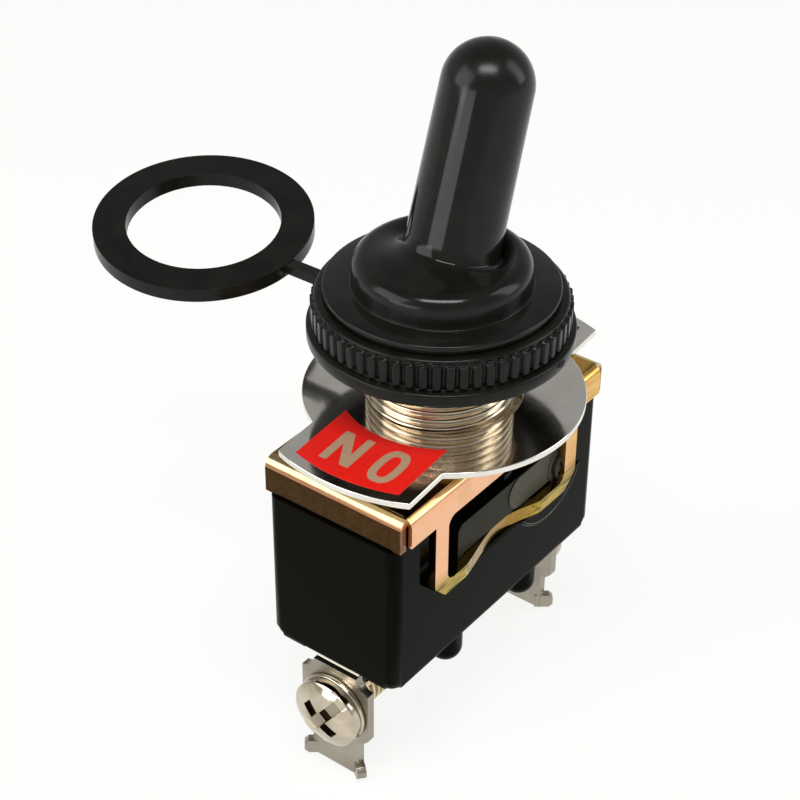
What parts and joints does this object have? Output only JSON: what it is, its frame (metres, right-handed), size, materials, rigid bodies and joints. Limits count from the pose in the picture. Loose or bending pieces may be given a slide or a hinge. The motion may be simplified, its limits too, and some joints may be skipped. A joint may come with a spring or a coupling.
{
  "type": "toggle switch",
  "caption": "Panel toggle switch with a sealed lever, a knurled ring nut, a label plate and screw terminals.",
  "frame": {"origin": "on the bushing's axis, at the upper face of the label plate, where the panel seats", "axes": "+Z along the bushing away from the housing; +X along the housing, towards the switched terminal and the side the lever leans to when off"},
  "size_m": [0.0322, 0.0457, 0.0594],
  "materials": {
    "moulding": "satin thermoset moulding",
    "fibre": "stamped fibre sheet",
    "yellow_zinc": "yellow chromate over zinc",
    "nickel": "dull nickel plate",
    "steel": "plated steel",
    "plastic": "natural nylon",
    "brass": "bare brass",
    "silver": "silver contact face",
    "label": "stamped sheet with red and black enamel fields",
    "collar_plastic": "satin black moulding",
    "boot_rubber": "black silicone rubber"
  },
  "bodies": {
    "base": {"housing": "moulding", "insulator": "fibre", "frame": "yellow_zinc", "bushing": "nickel", "lever_pin": "steel", "rocker_pin": "steel", "saddle": "brass", "saddle_rivet": "brass", "terminal_common": "nickel", "terminal_switched": "nickel", "fixed_contact": "silver", "label_plate": "label", "collar": "collar_plastic", "nut_insert": "brass", "boot": "boot_rubber"},
    "toggle": {"lever": "nickel"},
    "follower": {"plunger": "plastic", "plunger_spring": "steel"},
    "contact_rocker": {"rocker": "brass", "rocker_contact": "silver"},
    "washer_common_body": {"washer_common": "steel"},
    "screw_common_body": {"screw_common": "steel"},
    "washer_switched_body": {"washer_switched": "steel"},
    "screw_switched_body": {"screw_switched": "steel"}
  },
  "joints": [
    {"name": "lever_tilt", "type": "hinge", "parent": "base", "child": "toggle", "pos_m": [0, 0, 0.00892], "axis": [0, 1, 0], "range_deg": [-37, 0], "deforming": ["boot"]},
    {"name": "plunger_slide", "type": "slide", "parent": "toggle", "child": "follower", "axis": [0.3173, 0, 0.9483], "range_m": [0, 0.0009], "stiffness_N_per_m": 300, "springref_m": -0.004, "deforming": ["plunger_spring"]},
    {"name": "rocker_tilt", "type": "hinge", "parent": "base", "child": "contact_rocker", "pos_m": [0, 0, -0.01249], "axis": [0, 1, 0], "range_deg": [0, 14]},
    {"name": "screw_common_slide", "type": "slide", "parent": "base", "child": "washer_common_body", "axis": [-1, 0, 0], "range_m": [0, 0.0018]},
    {"name": "screw_common_turn", "type": "hinge", "parent": "washer_common_body", "child": "screw_common_body", "pos_m": [-0.0139, 0, -0.02444], "axis": [-1, 0, 0], "range_deg": [0, 1080]},
    {"name": "screw_switched_slide", "type": "slide", "parent": "base", "child": "washer_switched_body", "axis": [1, 0, 0], "range_m": [0, 0.0018]},
    {"name": "screw_switched_turn", "type": "hinge", "parent": "washer_switched_body", "child": "screw_switched_body", "pos_m": [0.0139, 0, -0.02444], "axis": [1, 0, 0], "range_deg": [0, 1080]}
  ],
  "couplings": [
    {"joint": "rocker_tilt", "follows": "lever_tilt", "ratio": -0.37838},
    {"joint": "screw_common_turn", "follows": "screw_common_slide", "rad_per_m": 10472},
    {"joint": "screw_switched_turn", "follows": "screw_switched_slide", "rad_per_m": 10472}
  ]
}
